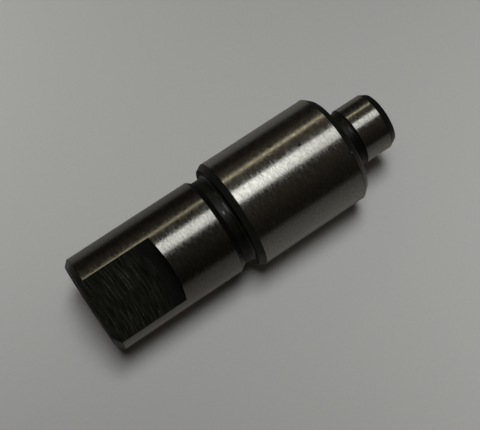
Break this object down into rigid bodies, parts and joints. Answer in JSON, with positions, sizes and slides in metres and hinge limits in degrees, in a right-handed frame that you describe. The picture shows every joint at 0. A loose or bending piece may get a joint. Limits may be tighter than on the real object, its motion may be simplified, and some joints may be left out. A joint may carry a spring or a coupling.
{
  "type": "stepped shaft",
  "caption": "Hardened and ground stepped shaft with two shoulders, relief grooves, chamfered ends and one milled flat on its end journal.",
  "frame": {"origin": "centre of the end face beside the milled flat, on which the shaft stands", "axes": "+Z along the shaft's axis towards its thin end, -Y out of the milled flat, +X to the right of it"},
  "size_m": [0.017, 0.017, 0.0502],
  "materials": {
    "ground_steel": "hardened steel, diameters ground bright, grooves, chamfers, ends and flat left black"
  },
  "bodies": {
    "root": {"shaft": "ground_steel"}
  },
  "joints": []
}
